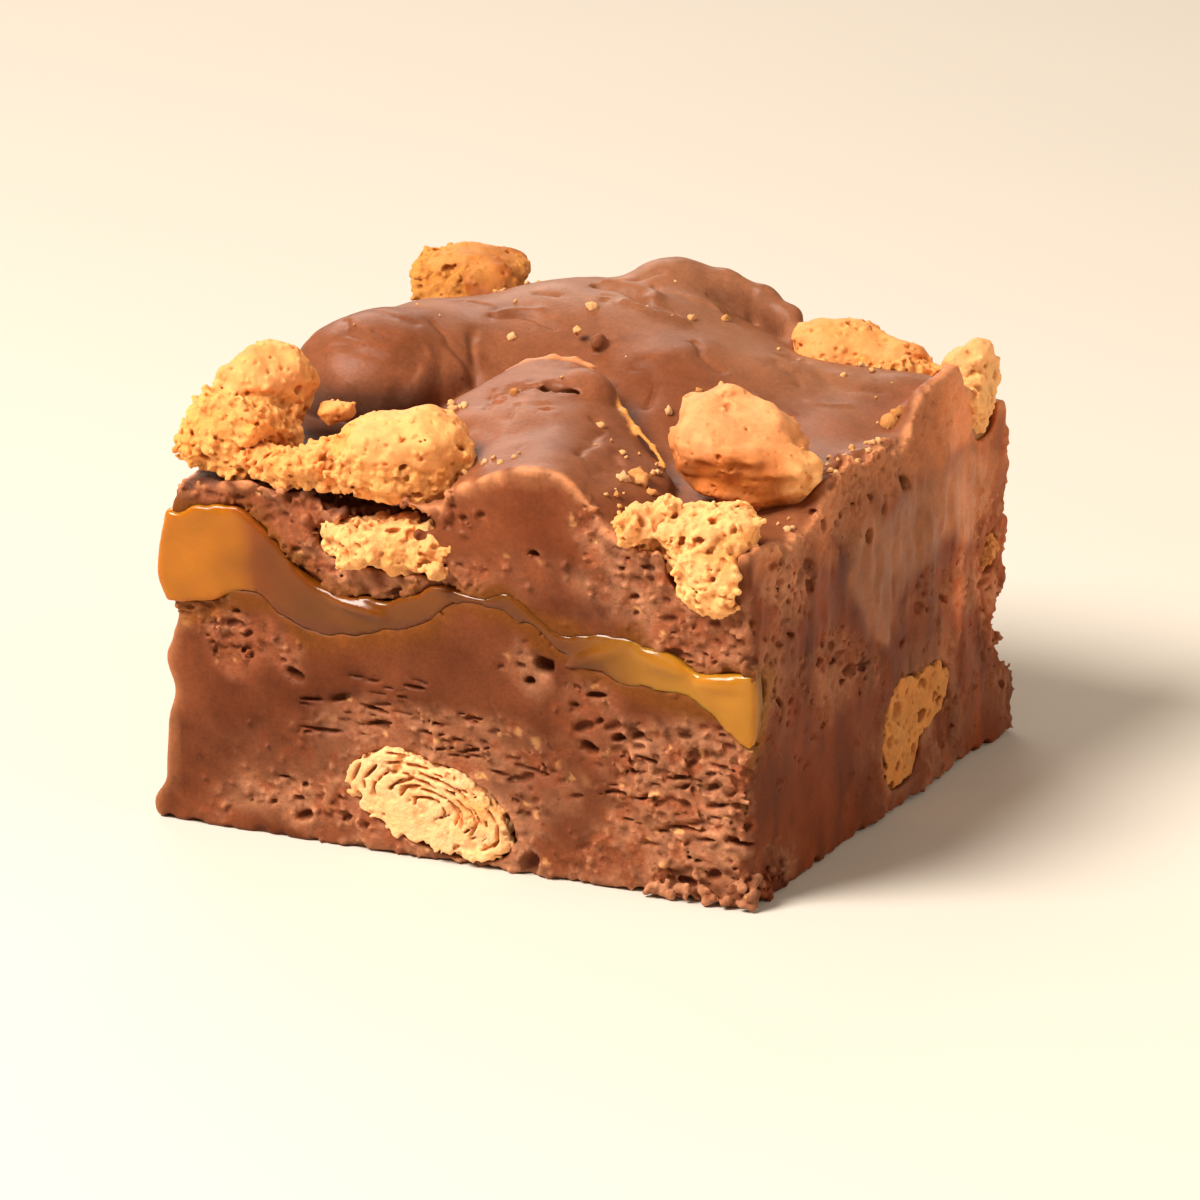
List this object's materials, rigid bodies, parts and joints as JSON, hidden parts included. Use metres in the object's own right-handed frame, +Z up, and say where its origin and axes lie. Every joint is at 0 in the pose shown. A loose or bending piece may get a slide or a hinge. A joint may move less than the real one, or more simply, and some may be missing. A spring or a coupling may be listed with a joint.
{
  "type": "fudge cube",
  "caption": "Cut cube of layered chocolate fudge with a caramel layer through the middle, a folded top and biscuit pieces set in the faces and on top.",
  "frame": {"origin": "middle of the flat base", "axes": "+Z up from the base, -Y is the cut face with the arched biscuit inset low in it and the dome of fudge at its top edge, +X is the cut face to its right"},
  "size_m": [0.0412, 0.0414, 0.0314],
  "materials": {
    "fudge": "satin milk chocolate fudge, smooth in places and crumbly in others",
    "caramel": "glossy, slightly see-through",
    "biscuit": "baked, smooth crust and crumbly where broken"
  },
  "bodies": {
    "root": {"fudge_lower": "fudge", "caramel_layer": "caramel", "fudge_upper": "fudge", "biscuit_corner": "biscuit", "biscuit_split_top": "biscuit", "biscuit_split_base": "biscuit", "biscuit_chip": "biscuit", "biscuit_pillow": "biscuit", "biscuit_front_right": "biscuit", "biscuit_back_left": "biscuit", "biscuit_back_right": "biscuit", "biscuit_rear_corner": "biscuit", "biscuit_inset_front": "biscuit", "biscuit_inset_right": "biscuit", "biscuit_inset_rim": "biscuit", "biscuit_inset_left": "biscuit", "biscuit_inset_back": "biscuit"}
  },
  "joints": []
}
